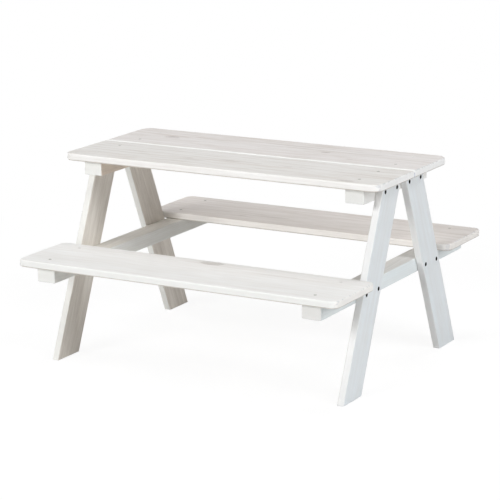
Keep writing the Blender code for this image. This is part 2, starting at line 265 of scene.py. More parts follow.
class Tree:
    """The nodes of one material, or of the surround."""

    # The sockets that a Mix node uses for colours
    MIX_FACTOR = 0
    MIX_FIRST = 6
    MIX_SECOND = 7
    MIX_RESULT = 2

    def __init__(self, owner: bpy.types.Material | bpy.types.World) -> None:
        """Clears the nodes of a material or a world.

        Args:
            owner: The material or the world.
        """
        owner.use_nodes = True
        self.owner = owner
        self.nodes = owner.node_tree.nodes
        self.links = owner.node_tree.links
        self.nodes.clear()

    def node(self, kind: str, settings: dict[str, object] | None = None,
             inputs: dict[str | int, Input] | None = None) -> bpy.types.Node:
        """Adds a node.

        Args:
            kind: The node's type.
            settings: Its settings, which are set before its sockets.
            inputs: The value or the link of each socket, by its name or its number.

        Returns:
            The node.
        """
        node = self.nodes.new(kind)
        for name, setting in (settings or {}).items():
            setattr(node, name, setting)
        for key, value in (inputs or {}).items():
            if isinstance(value, Signal):
                self.links.new(value.socket, node.inputs[key])
            else:
                node.inputs[key].default_value = value
        return node

    def math(self, operation: str, *values: Value) -> Signal:
        """Adds a Math node of one or two values."""
        node = self.node("ShaderNodeMath", {"operation": operation}, dict(enumerate(values)))
        return Signal(self, node.outputs["Value"])

    def vector_math(self, operation: str, first: Input, second: Input) -> bpy.types.Node:
        """Adds a Vector Math node of two vectors."""
        return self.node("ShaderNodeVectorMath", {"operation": operation}, {0: first, 1: second})

    def stretch(self, vector: Signal, rates: Input) -> Signal:
        """Multiplies a vector by a rate along each axis."""
        return Signal(self, self.vector_math("MULTIPLY", vector, rates).outputs["Vector"])

    def shift(self, vector: Signal, offset: Input) -> Signal:
        """Moves a vector by an offset."""
        return Signal(self, self.vector_math("ADD", vector, offset).outputs["Vector"])

    def dot(self, vector: Signal, axis: Input) -> Signal:
        """Measures a vector along an axis."""
        return Signal(self, self.vector_math("DOT_PRODUCT", vector, axis).outputs["Value"])

    def split(self, vector: Signal) -> tuple[Signal, Signal, Signal]:
        """Takes a vector's three parts."""
        node = self.node("ShaderNodeSeparateXYZ", {}, {"Vector": vector})
        return tuple(Signal(self, output) for output in node.outputs)

    def object_place(self) -> Signal:
        """Gives the place on the object."""
        return Signal(self, self.node("ShaderNodeTexCoord").outputs["Object"])

    def normal(self) -> Signal:
        """Gives the way that the surface faces."""
        return Signal(self, self.node("ShaderNodeNewGeometry").outputs["Normal"])

    def seen(self) -> Signal:
        """Tells what the camera sees, also by reflection or through glass, from the rest.

        Returns:
            1 for the rays that lead to the camera, and 0 for those that light the table.
        """
        path = self.node("ShaderNodeLightPath").outputs
        camera, glossy, through = (
            Signal(self, path[f"Is {kind} Ray"]) for kind in ("Camera", "Glossy", "Transmission"))
        return camera.most(glossy).most(through)

    def lot(self, number: Signal) -> Signal:
        """Draws a share between 0 and 1 that stays the same for a number."""
        node = self.node("ShaderNodeTexWhiteNoise", {"noise_dimensions": "1D"}, {"W": number})
        return Signal(self, node.outputs["Value"])

    def mix(self, share: Value, first: Input, second: Input) -> Signal:
        """Mixes two colours.

        Args:
            share: The second colour's share.
            first: The first colour.
            second: The second colour.

        Returns:
            The mixed colour.
        """
        node = self.node(
            "ShaderNodeMix", {"data_type": "RGBA", "clamp_factor": True},
            {self.MIX_FACTOR: share, self.MIX_FIRST: first, self.MIX_SECOND: second})
        return Signal(self, node.outputs[self.MIX_RESULT])

    def bump(self, height: Signal, depth: float, strength: float) -> Signal:
        """Turns a height into a tilt of the surface.

        Args:
            height: The height, in shares of the relief's depth.
            depth: The relief's depth.
            strength: How much of the tilt is used.

        Returns:
            The tilted normal.
        """
        node = self.node("ShaderNodeBump", {},
                         {"Strength": strength, "Distance": depth, "Height": height})
        return Signal(self, node.outputs["Normal"])

    def shader(self, kind: str, inputs: dict[str | int, Input]) -> Signal:
        """Adds a shader node, and gives its shader."""
        return Signal(self, self.node(kind, {}, inputs).outputs[0])

    def finish(self, shader: Signal, output: str = "ShaderNodeOutputMaterial"
               ) -> bpy.types.Material | bpy.types.World:
        """Links a shader to the output, and gives the owner of the nodes."""
        self.node(output, {}, {"Surface": shader})
        return self.owner


@dataclass(frozen=True)
class Layer:
    """A layer of noise.

    The rates are its features in a metre along each axis, and the edge is the step that turns it
    into spots. The show is how much it thins the glaze, and the relief how far it stands proud,
    or lies sunk where it is below 0.
    """

    rates: Triple
    detail: float
    roughness: float = 0.5
    edge: Step = (0.0, 1.0)
    show: float = 0.0
    relief: float = 0.0

    MEAN = 0.5

    def noise(self, tree: Tree, place: Signal) -> Signal:
        """Draws the noise.

        Args:
            tree: The material's tree.
            place: The place that the noise is read at.

        Returns:
            The noise, mostly between 0.3 and 0.7.
        """
        return Signal(tree, tree.node(
            "ShaderNodeTexNoise", {"noise_dimensions": "3D"},
            {"Vector": tree.stretch(place, self.rates), "Scale": 1.0, "Detail": self.detail,
             "Roughness": self.roughness}).outputs["Fac"])

    def soft(self, tree: Tree, place: Signal) -> Signal:
        """Draws the noise around 0."""
        return self.noise(tree, place) - self.MEAN

    def spots(self, tree: Tree, place: Signal) -> Signal:
        """Draws spots: 1 inside them and 0 between them."""
        return self.noise(tree, place).step(*self.edge)


# Finishes


@dataclass(frozen=True)
class Lie:
    """How a board lies, which of its faces got less glaze, and where it is bored or has a seam.

    The turn takes X to the run of the board's grain. Its thin side gets less glaze and painted
    shade.
    A seam gets a painted highlight: it lies at 1 or -1 across the board, and its highlight starts
    that far from the board's middle.
    """

    centre: Vector
    turn: Euler
    # The side that gets less glaze and painted shade
    thin_side: Vector
    seam_way: int = 0
    seam_start: float = 1.0
    bores: tuple[Vector, ...] = ()
    bore_radius: float = 0.0

    @property
    def axes(self) -> tuple[Vector, Vector, Vector]:
        """The ways along the grain, across the board and through it."""
        return tuple(self.turn.to_matrix().transposed())


@dataclass(frozen=True)
class Faces:
    """Masks that tell a board's faces apart."""

    end_grain: Signal
    end_arris: Signal
    edge: Signal
    arris: Signal
    thin_side: Signal
    seam: Signal
    gap: Signal


@dataclass(frozen=True)
class Grain:
    """What the grain of a board shows: masks, and soft noise around 0."""

    late: Signal
    fibre: Signal
    streak: Signal
    bands: Signal
    pores: Signal
    specks: Signal
    nicks: Signal


@dataclass(frozen=True)
class KnotMasks:
    """Masks of the knots' wood, bark rims and wild grain, and how far they push the rings."""

    core: Signal
    rim: Signal
    swirl: Signal
    lift: Signal


@dataclass(frozen=True)
class Knot:
    """A knot right through a board, placed from its middle and stretched along its grain."""

    along: float
    across: float
    radius: float
    stretch: float = 1.6
    strength: float = 1.0


@dataclass(frozen=True)
class GlazedPine:
    """Pine under a thin white glaze, with rings that run on over faces, edges and ends.

    The rings lie round a pith that runs along the board, so a flat-sawn board shows flames on
    its faces and arcs on its ends.
    """

    name: str
    seed: float
    glaze: Colour = tone(232, 231, 231)
    edge_glaze: Colour = tone(240, 239, 237)
    end_glaze: Colour = tone(250, 250, 249)
    thin_glaze: Colour = tone(240, 232, 219)
    # Painted highlight along the top of the tabletop's seam
    seam_glaze: Colour = tone(254, 254, 252)
    # Painted shade down in the gap of the tabletop's seam
    gap_glaze: Colour = tone(222, 224, 231)
    nick_glaze: Colour = tone(206, 207, 210)
    early_wood: Colour = tone(208, 199, 188)
    late_wood: Colour = tone(156, 146, 136)
    heart_wood: Colour = tone(194, 177, 164)
    knot_wood: Colour = tone(124, 98, 84)
    knot_rim: Colour = tone(74, 54, 44)
    # Painted shade: near-black colour for the walls and rims of the bolt holes
    bore_wood: Colour = tone(50, 44, 41)
    cover: float = 0.88
    contrast: float = 1.0
    thin_loss: float = 0.18
    thin_grain: float = 1.9
    thin_start: float = 0.5
    pith_across: float = 0.010
    pith_depth: float = -0.055
    taper: float = 0.012
    ring_width: float = 0.0036
    ring_show: float = 0.14
    cloud_show: float = 0.05
    knots: tuple[Knot, ...] = ()

    DRAW_WAY = (1, 0.37, 0.61)
    FIBRE = Layer((22, 520, 520), 3.0, 0.6, show=0.6, relief=0.7)
    STREAK = Layer((7, 80, 80), 3.0, 0.62, show=1.4, relief=0.4)
    BAND = Layer((1.3, 16, 16), 2.0, edge=(0.44, 0.68))
    PORE = Layer((60, 1000, 1000), 1.0, edge=(0.62, 0.76), show=0.14, relief=-0.8)
    SPECK = Layer((900, 900, 900), 2.0, 0.7, (0.52, 0.74), show=0.14, relief=-0.5)
    NICK = Layer((12, 105, 105), 1.0, edge=(0.48, 0.60))
    BEND = Layer((1.6, 0.2, 0.2), 1.0)
    WOBBLE = Layer((3.5, 26, 26), 2.0)
    RIPPLE = Layer((70, 150, 150), 2.0)

    # How far the rings bend and wobble, and the rise, fall and weakest share of their late wood
    BEND_REACH = 0.012
    WOBBLE_REACH = 0.007
    RING_RISE = (0.30, 0.90)
    RING_FALL = (0.93, 1.0)
    RING_LEAST = 0.35
    RING_RELIEF = 0.35

    # The parts of a knot in shares of its radius, and its own rings
    KNOT_CORE = (0.55, 1.0)
    KNOT_RIM = (0.60, 0.88)
    KNOT_BARK = (0.92, 1.25)
    KNOT_RING = 0.0013
    KNOT_RING_EDGE = (0.3, 0.9)
    KNOT_RING_SHOW = 0.3
    KNOT_RIM_SHOW = 0.6
    KNOT_REACH = 2.6
    KNOT_LIFT = 0.75
    KNOT_RIPPLE = 0.9

    # How strongly each part of the grain colours the bare wood and shows through the glaze
    LATE_TONE = 0.85
    FIBRE_TONE = 0.4
    BAND_TONE = 0.5
    BAND_MEAN = 0.4
    SWIRL_TONE = 0.5
    SWIRL_SHOW = 0.14
    CORE_SHOW = 0.30
    RIM_SHOW = 0.34
    THIN_TONE = 0.8
    NICK_TONE = 0.55

    # How far edges, arrises and ends hide the grain, and how much more glaze some faces hold, the
    # seam's share adding to its painted highlight
    EDGE_HIDES = 0.65
    ARRIS_HIDES = 0.5
    END_HIDES = 0.85
    MOST_HIDDEN = 0.85
    EDGE_GAIN = 0.02
    END_GAIN = 0.06
    SEAM_GAIN = 0.12

    # How far a surface has to face a way to count as a face that way
    END_TURN = (0.45, 0.8)
    END_ARRIS_RISE = (0.1, 0.4)
    END_ARRIS_FALL = (0.85, 1)
    EDGE_TURN = (0.5, 0.8)
    ARRIS_TURN = (0.02, 0.2)
    THIN_TURN = 0.4
    SEAM_TURN = (0.2, 0.5)
    SEAM_BLEND = 0.0012
    SEAM_FOOT = 0.002
    BORE_RIM = 0.0004

    ROUGHNESS = 0.54
    FIBRE_ROUGHNESS = 0.12
    LATE_ROUGHNESS = 0.05
    END_ROUGHNESS = 0.12
    SPECULAR = 0.38
    RELIEF_DEPTH = 0.00018
    RELIEF_STRENGTH = 0.45

    def dress(self, piece: bpy.types.Object, lie: Lie) -> None:
        """Puts the finish on a board that lies so."""
        piece.data.materials.clear()
        piece.data.materials.append(self.material(lie))

    def material(self, lie: Lie) -> bpy.types.Material:
        """Makes the finish.

        Args:
            lie: How the board lies.

        Returns:
            The material.
        """
        tree = Tree(bpy.data.materials.new(self.name))
        here = tree.node("ShaderNodeMapping", {"vector_type": "TEXTURE"},
                         {"Vector": tree.object_place(), "Location": lie.centre,
                          "Rotation": lie.turn})
        place = Signal(tree, here.outputs["Vector"])
        drawn = tree.shift(place, tuple(self.seed * way for way in self.DRAW_WAY))
        along, across, depth = tree.split(place)
        faces = self.faces(tree, lie, across, depth)
        knots = self.knot_masks(tree, along, across, drawn)
        grain = Grain(
            late=self.late_wood_share(tree, drawn, (along, across, depth), knots.lift),
            fibre=self.FIBRE.soft(tree, drawn), streak=self.STREAK.soft(tree, drawn),
            bands=self.BAND.spots(tree, drawn), pores=self.PORE.spots(tree, drawn),
            specks=self.SPECK.spots(tree, drawn) * faces.end_grain,
            nicks=self.NICK.spots(tree, drawn) * faces.end_arris)
        colour = tree.mix(self.glaze_share(faces, grain, knots),
                          self.bare_wood(tree, grain, knots), self.full_glaze(tree, faces, grain))
        # Painted shade: the walls and sharp rims of the bolt holes are coloured near black
        for bore in lie.bores:
            colour = tree.mix(self.bored(tree, bore, lie.bore_radius), colour, self.bore_wood)
        height = grain.fibre * self.FIBRE.relief + grain.streak * self.STREAK.relief \
            - grain.late * self.RING_RELIEF + grain.pores * self.PORE.relief \
            + grain.specks * self.SPECK.relief
        return tree.finish(tree.shader("ShaderNodeBsdfPrincipled", {
            "Base Color": colour,
            "Roughness": self.ROUGHNESS + grain.fibre * self.FIBRE_ROUGHNESS
            + grain.late * self.LATE_ROUGHNESS + faces.end_grain * self.END_ROUGHNESS,
            "Specular IOR Level": self.SPECULAR,
            "Normal": tree.bump(height, self.RELIEF_DEPTH, self.RELIEF_STRENGTH),
        }))

    def bare_wood(self, tree: Tree, grain: Grain, knots: KnotMasks) -> Signal:
        """Colours the wood under the glaze.

        Args:
            tree: The material's tree.
            grain: The board's grain.
            knots: The board's knots.

        Returns:
            The colour.
        """
        ringed = (grain.late * self.LATE_TONE + grain.fibre * self.FIBRE_TONE) * self.contrast
        bare = tree.mix(ringed, self.early_wood, self.late_wood)
        heart = grain.bands * (self.BAND_TONE * self.contrast) + knots.swirl * self.SWIRL_TONE
        bare = tree.mix(heart, bare, self.heart_wood)
        bare = tree.mix(knots.core, bare, self.knot_wood)
        return tree.mix(knots.rim, bare, self.knot_rim)

    def full_glaze(self, tree: Tree, faces: Faces, grain: Grain) -> Signal:
        """Colours the glaze where it hides the wood.

        Args:
            tree: The material's tree.
            faces: The board's faces.
            grain: The board's grain.

        Returns:
            The colour.
        """
        bright = self.glaze
        for share, colour in (
                (faces.edge, self.edge_glaze), (faces.end_grain, self.end_glaze),
                # Painted shade: the thin side's colour darkens plank undersides and tints inner
                # faces as they look in shade
                (faces.thin_side * self.THIN_TONE, self.thin_glaze),
                # Painted highlight on the seam and painted shade down in its gap
                (faces.seam, self.seam_glaze), (faces.gap, self.gap_glaze),
                (grain.nicks * self.NICK_TONE, self.nick_glaze)):
            bright = tree.mix(share, bright, colour)
        return bright

    def glaze_share(self, faces: Faces, grain: Grain, knots: KnotMasks) -> Signal:
        """Tells how much of the wood the glaze hides.

        Args:
            faces: The board's faces.
            grain: The board's grain.
            knots: The board's knots.

        Returns:
            The glaze's share, from 0 to 1.
        """
        hidden = faces.edge * self.EDGE_HIDES + faces.arris * self.ARRIS_HIDES \
            + faces.end_grain * self.END_HIDES
        plain = 1 - hidden.least(self.MOST_HIDDEN)
        thin = grain.late * self.ring_show + grain.pores * self.PORE.show \
            + grain.streak * self.STREAK.show + grain.fibre * self.FIBRE.show
        thin = thin * plain * (faces.thin_side * (self.thin_grain - 1) + 1) * self.contrast
        thin = thin + (grain.bands - self.BAND_MEAN) * self.cloud_show * plain
        thin = thin + knots.swirl * self.SWIRL_SHOW + knots.core * self.CORE_SHOW \
            + knots.rim * self.RIM_SHOW
        thin = thin + grain.specks * self.SPECK.show + faces.thin_side * self.thin_loss
        gain = faces.edge * self.EDGE_GAIN + faces.end_grain * self.END_GAIN \
            + faces.seam * self.SEAM_GAIN
        return (self.cover + gain - thin).most(0.0).least(1.0)

    def bored(self, tree: Tree, bore: Vector, radius: float) -> Signal:
        """Masks the inside of a hole through the board along X, and its sharp rim.

        Args:
            tree: The material's tree.
            bore: The middle of the hole.
            radius: The radius of the hole.

        Returns:
            The mask.
        """
        across = tree.stretch(tree.shift(tree.object_place(), -bore), (0, 1, 1))
        reach = tree.dot(across, across).root()
        return 1 - reach.step(radius, radius + self.BORE_RIM)

    def faces(self, tree: Tree, lie: Lie, across: Signal, depth: Signal) -> Faces:
        """Tells the board's faces apart by the way that they face.

        Args:
            tree: The material's tree.
            lie: How the board lies.
            across: The place across the board.
            depth: The place through the board.

        Returns:
            The masks.
        """
        normal = tree.normal()
        ends, sides, broad = (abs(tree.dot(normal, axis)) for axis in lie.axes)
        arris = 1 - ends.most(sides).most(broad)
        turned = tree.dot(normal, lie.thin_side)
        seam = tree.dot(normal, lie.axes[1] * lie.seam_way).step(*self.SEAM_TURN)
        high = depth.step(self.SEAM_FOOT, self.SEAM_FOOT + 2 * self.SEAM_BLEND)
        beside = (across * lie.seam_way).step(lie.seam_start, lie.seam_start + self.SEAM_BLEND)
        return Faces(
            end_grain=ends.step(*self.END_TURN),
            end_arris=ends.step(*self.END_ARRIS_RISE) * (1 - ends.step(*self.END_ARRIS_FALL)),
            edge=sides.step(*self.EDGE_TURN), arris=arris.step(*self.ARRIS_TURN),
            thin_side=turned.step(self.thin_start, self.thin_start + self.THIN_TURN),
            seam=(seam * high).most(beside), gap=seam * (1 - high))

    def knot_masks(self, tree: Tree, along: Signal, across: Signal, drawn: Signal) -> KnotMasks:
        """Adds up the board's knots.

        Args:
            tree: The material's tree.
            along: The place along the grain.
            across: The place across the board.
            drawn: The place that the board's noise is read at.

        Returns:
            The masks.
        """
        core = rim = swirl = lift = along * 0.0
        ripple = self.RIPPLE.soft(tree, drawn) * self.KNOT_RIPPLE
        for knot in self.knots:
            run = (along - knot.along) / (knot.radius * knot.stretch)
            off = (across - knot.across) / knot.radius
            reach = (run * run + off * off).root() + ripple
            rings = (reach * (knot.radius / self.KNOT_RING)).fraction().step(*self.KNOT_RING_EDGE)
            inside = (1 - reach.step(*self.KNOT_CORE)) * knot.strength
            bark = reach.step(*self.KNOT_RIM) * (1 - reach.step(*self.KNOT_BARK)) * knot.strength
            halo = (reach / self.KNOT_REACH).bell()
            core = core.most(inside * (rings * self.KNOT_RING_SHOW + (1 - self.KNOT_RING_SHOW)))
            rim = rim.most(bark * self.KNOT_RIM_SHOW)
            swirl = swirl.most(halo * knot.strength)
            lift = lift + halo * (knot.radius * self.KNOT_LIFT)
        return KnotMasks(core, rim, swirl, lift)

    def late_wood_share(self, tree: Tree, drawn: Signal, place: tuple[Signal, Signal, Signal],
                        lift: Signal) -> Signal:
        """Draws the growth rings round the pith.

        Args:
            tree: The material's tree.
            drawn: The place that the board's noise is read at.
            place: The place along, across and through the board.
            lift: How far the knots push the rings aside.

        Returns:
            How much of the dark late wood shows, from 0 to 1.
        """
        along, across, depth = place
        bend = self.BEND.soft(tree, drawn) * self.BEND_REACH
        wobble = self.WOBBLE.soft(tree, drawn) * self.WOBBLE_REACH
        sideways = across - self.pith_across + bend
        deep = depth - self.pith_depth + along * self.taper
        radius = (sideways * sideways + deep * deep).root() + wobble + bend + lift
        count = radius / self.ring_width
        ring = count.fraction()
        strength = tree.lot(count.floor()) * (1 - self.RING_LEAST) + self.RING_LEAST
        return ring.step(*self.RING_RISE) * (1 - ring.step(*self.RING_FALL)) * strength


@dataclass(frozen=True)
class CoatedSteel:
    """Plated, blackened or painted steel, faintly clouded and brushed."""

    name: str
    light: Colour
    dark: Colour
    metallic: float
    roughness: float
    gloss: float = 0.5

    CLOUD = Layer((900, 900, 900), 3.0, 0.6, (0.3, 0.7))
    GRIT = Layer((5400, 5400, 5400), 1.0)
    CLOUD_ROUGHNESS = 0.3
    GRIT_ROUGHNESS = 0.15
    RELIEF_DEPTH = 0.00003
    RELIEF_STRENGTH = 0.3

    def dress(self, piece: bpy.types.Object) -> None:
        """Puts the finish on a fastener."""
        piece.data.materials.clear()
        piece.data.materials.append(bpy.data.materials.get(self.name) or self.material())

    def material(self) -> bpy.types.Material:
        """Makes the finish.

        Returns:
            The material.
        """
        tree = Tree(bpy.data.materials.new(self.name))
        place = tree.object_place()
        cloud = self.CLOUD.noise(tree, place)
        grit = self.GRIT.noise(tree, place)
        return tree.finish(tree.shader("ShaderNodeBsdfPrincipled", {
            "Base Color": tree.mix(cloud.step(*self.CLOUD.edge), self.dark, self.light),
            "Metallic": self.metallic,
            "Specular IOR Level": self.gloss,
            "Roughness": self.roughness + (cloud - Layer.MEAN) * self.CLOUD_ROUGHNESS
            + (grit - Layer.MEAN) * self.GRIT_ROUGHNESS,
            "Normal": tree.bump(grit, self.RELIEF_DEPTH, self.RELIEF_STRENGTH),
        }))


# Modelled solids


class Solid:
    """A closed solid that is modelled in steps, each of which gives the solid back."""

    def __init__(self) -> None:
        """Starts with nothing."""
        self.bm = bmesh.new()

    def block(self, size: Sequence[float], centre: Sequence[float] = (0, 0, 0)) -> "Solid":
        """Adds a block.

        Args:
            size: Its lengths along X, Y and Z.
            centre: Its centre.

        Returns:
            The solid itself.
        """
        matrix = Matrix.Translation(centre) @ Matrix.Diagonal((*size, 1))
        bmesh.ops.create_cube(self.bm, size=1, matrix=matrix)
        return self

    def lean(self, slope: float) -> "Solid":
        """Makes the solid lean along Y, and keeps its level faces level.

        Args:
            slope: How far it shifts for each metre of height.

        Returns:
            The solid itself.
        """
        for vert in self.bm.verts:
            vert.co.y += slope * vert.co.z
        return self

    def turned(self, outline: Outline, segments: int = TURNED_SEGMENTS) -> "Solid":
        """Adds a round solid by spinning its outline about Z.

        Args:
            outline: The radius and the height of each point, from the lower pole to the upper.
            segments: How many facets go round it.

        Returns:
            The solid itself.
        """
        verts = [self.bm.verts.new((radius, 0, height)) for radius, height in outline]
        edges = [self.bm.edges.new(pair) for pair in zip(verts, verts[1:])]
        bmesh.ops.spin(self.bm, geom=verts + edges, cent=(0, 0, 0), axis=(0, 0, 1), dvec=(0, 0, 0),
                       angle=math.tau, steps=segments, use_merge=True)
        bmesh.ops.remove_doubles(self.bm, verts=self.bm.verts, dist=MERGE_DISTANCE)
        return self

    def pin(self, radius: float, low: float, high: float,
            segments: int = TURNED_SEGMENTS) -> "Solid":
        """Adds a plain pin about Z between two heights."""
        return self.turned([(0, low), (radius, low), (radius, high), (0, high)], segments)

    def rings(self, rings: Sequence[tuple[float, RadiusRule]]) -> "Solid":
        """Adds a solid ring by ring.

        Args:
            rings: The height of each ring, from the bottom up, and the rule that gives its
                radius at a turn about Z and a height.

        Returns:
            The solid itself.
        """
        verts = bmesh.ops.create_circle(self.bm, cap_ends=True, radius=1,
                                        segments=TURNED_SEGMENTS)["verts"]
        cap = verts[0].link_faces[0]
        for step, (height, radius_at) in enumerate(rings):
            if step > 0:
                grown = bmesh.ops.extrude_face_region(self.bm, geom=[cap])["geom"]
                if step > 1:
                    bmesh.ops.delete(self.bm, geom=[cap], context="FACES_ONLY")
                cap = next(item for item in grown if isinstance(item, bmesh.types.BMFace))
            for vert in cap.verts:
                turn = math.atan2(vert.co.y, vert.co.x)
                radius = radius_at(turn, height)
                vert.co = (radius * math.cos(turn), radius * math.sin(turn), height)
        return self

    def round_edges(self, edges: Iterable[bmesh.types.BMEdge], radius: float,
                    segments: int) -> "Solid":
        """Rounds edges over.

        Args:
            edges: The edges.
            radius: The radius of the rounding.
            segments: How many facets it has.

        Returns:
            The solid itself.
        """
        bmesh.ops.bevel(self.bm, geom=list(edges), offset=radius, segments=segments, profile=0.5,
                        affect="EDGES", clamp_overlap=True, material=-1)
        return self

    def upright_edges(self) -> list[bmesh.types.BMEdge]:
        """Finds the edges that run up."""
        spans = {edge: edge.verts[1].co - edge.verts[0].co for edge in self.bm.edges}
        return [edge for edge, span in spans.items() if abs(span.z) > max(abs(span.x), abs(span.y))]

    def rims(self) -> list[bmesh.types.BMEdge]:
        """Finds the edges round the level faces.

        Returns:
            The edges.
        """
        self.bm.normal_update()
        level = [face for face in self.bm.faces if abs(face.normal.z) > LEVEL_NORMAL]
        return list(dict.fromkeys(edge for face in level for edge in face.edges))

    def support_faces(self) -> "Solid":
        """Runs a narrow border round each face with room for it, so that it shades flat.

        Returns:
            The solid itself.
        """
        self.bm.normal_update()
        room = SUPPORT_WIDTH * SUPPORT_ROOM
        wide = [face for face in self.bm.faces
                if face.calc_area() > room * max(edge.calc_length() for edge in face.edges)]
        bmesh.ops.inset_individual(self.bm, faces=wide, thickness=SUPPORT_WIDTH, depth=0)
        return self

    def move(self, matrix: Matrix) -> "Solid":
        """Places the solid."""
        bmesh.ops.transform(self.bm, matrix=matrix, verts=self.bm.verts)
        return self

    def mesh(self, name: str) -> bpy.types.Mesh:
        """Ends the modelling.

        Args:
            name: The mesh's name.

        Returns:
            The mesh, with its faces pointing out.
        """
        bmesh.ops.recalc_face_normals(self.bm, faces=self.bm.faces)
        mesh = bpy.data.meshes.new(name)
        self.bm.to_mesh(mesh)
        self.bm.free()
        return mesh


def even(radius: float) -> RadiusRule:
    """Gives the rule of a ring that has one radius all round."""
    return lambda turn, height: radius


def groove(turn: float, height: float, pitch: float) -> float:
    """Gives how deep a thread is at a turn and a height, from 0 on its crest to 1."""
    phase = (height / pitch - turn / math.tau) % 1
    return abs(2 * phase - 1)


def carve(mesh: bpy.types.Mesh, cutters: Sequence[bpy.types.Mesh]) -> bpy.types.Mesh:
    """Cuts cutters out of a mesh.

    Args:
        mesh: The mesh, which is used up.
        cutters: The cutters, which are used up too.

    Returns:
        What is left of the mesh.
    """
    body = add_object("carved", mesh)
    tools = [add_object("cutter", cutter) for cutter in cutters]
    for tool in tools:
        boolean = body.modifiers.new("cut", "BOOLEAN")
        boolean.operation = "DIFFERENCE"
        boolean.solver = "EXACT"
        boolean.object = tool
    evaluated = body.evaluated_get(bpy.context.evaluated_depsgraph_get())
    carved = bpy.data.meshes.new_from_object(evaluated)
    for thing in (body, *tools):
        bpy.data.objects.remove(thing, do_unlink=True)
    for spent in (mesh, *cutters):
        bpy.data.meshes.remove(spent)
    bm = bmesh.new()
    bm.from_mesh(carved)
    bmesh.ops.remove_doubles(bm, verts=bm.verts, dist=MERGE_DISTANCE)
    bm.to_mesh(carved)
    bm.free()
    return carved


def put(name: str, mesh: bpy.types.Mesh, node: str) -> bpy.types.Object:
    """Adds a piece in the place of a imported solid, shaded smooth but for its sharp edges.

    Args:
        name: The piece's name.
        mesh: Its mesh, already in its place.
        node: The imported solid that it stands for.

    Returns:
        The piece.
    """
    mesh.name = name
    mesh.shade_smooth()
    mesh.set_sharp_from_angle(angle=SMOOTH_ANGLE)
    piece = add_object(name, mesh)
    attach(piece, ROOT)
    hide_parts(node)
    LOG.info("%s: %d faces", name, len(mesh.polygons))
    return piece


# Sub-assemblies


@dataclass(frozen=True)
class ScrewSizes:
    """The countersunk screws and the seats that their heads sit in."""

    diameter: float = 0.004
    head_diameter: float = 0.008
    head_cone: float = 0.0022
    head_rim: float = 0.0004
    head_sink: float = 0.0003
    point_length: float = 0.005
    point_share: float = 0.1
    thread_pitch: float = 0.0018
    thread_depth: float = 0.0006
    plain_length: float = 0.012
    recess_width: float = 0.0042
    recess_slot: float = 0.0009
    recess_depth: float = 0.0019
    recess_taper: float = 0.55

    def seat(self, top: float, underside: float) -> bpy.types.Mesh:
        """Makes the cutter of one screw's hole around Z.

        Args:
            top: The height of the board's top.
            underside: The height of the board's underside.

        Returns:
            The cutter.
        """
        hole = self.diameter / 2 + SEATING_GAP
        sunk = self.head_diameter / 2 + SEATING_GAP
        rim_foot = top - self.head_sink - self.head_rim
        outline = [
            (0, underside - CUT_OVERRUN), (hole, underside - CUT_OVERRUN),
            (hole, rim_foot - self.head_cone), (sunk, rim_foot),
            (sunk, top + CUT_OVERRUN), (0, top + CUT_OVERRUN),
        ]
        return Solid().turned(outline).mesh("screw_seat")

    def screw(self, top: float, tip: float) -> bpy.types.Mesh:
        """Makes a screw around Z, with its thread, its point and its cross recess.

        Args:
            top: The height of the board's top.
            tip: The height of the screw's point.

        Returns:
            The screw's mesh.
        """
        head_top = top - self.head_sink
        rim_foot = head_top - self.head_rim
        neck = rim_foot - self.head_cone
        thread_top = neck - self.plain_length
        step = self.thread_pitch / THREAD_STEPS
        count = math.floor((thread_top - tip) / step)
        shank, head = partial(self.shank_radius, tip, thread_top), even(self.head_diameter / 2)
        rings = [(tip + step * number, shank) for number in range(count + 1)]
        rings += [(neck, shank), (rim_foot, head), (head_top, head)]
        return carve(Solid().rings(rings).mesh("screw"), self.recess(head_top))

    def shank_radius(self, tip: float, thread_top: float, turn: float, height: float) -> float:
        """Gives the shank's radius, threaded at the bottom and swelling from its point.

        Args:
            tip: The height of the point.
            thread_top: The height at which the thread ends.
            turn: The turn about Z.
            height: The height.

        Returns:
            The radius.
        """
        if height > thread_top:
            return self.diameter / 2
        swell = min(1.0, (height - tip) / self.point_length + self.point_share)
        cut = self.thread_depth * groove(turn, height, self.thread_pitch)
        return (self.diameter / 2 - cut) * swell

    def recess(self, head_top: float) -> list[bpy.types.Mesh]:
        """Makes the two crossed wedges that cut the recess.

        Args:
            head_top: The height of the head's top.

        Returns:
            The two cutters.
        """
        wedges = []
        for size in ((self.recess_width, self.recess_slot), (self.recess_slot, self.recess_width)):
            wedge = Solid().block((*size, self.recess_depth * 2), (0, 0, head_top))
            for vert in wedge.bm.verts:
                if vert.co.z < head_top:
                    vert.co.xy *= self.recess_taper
            wedges.append(wedge.mesh("recess_wedge"))
        return wedges


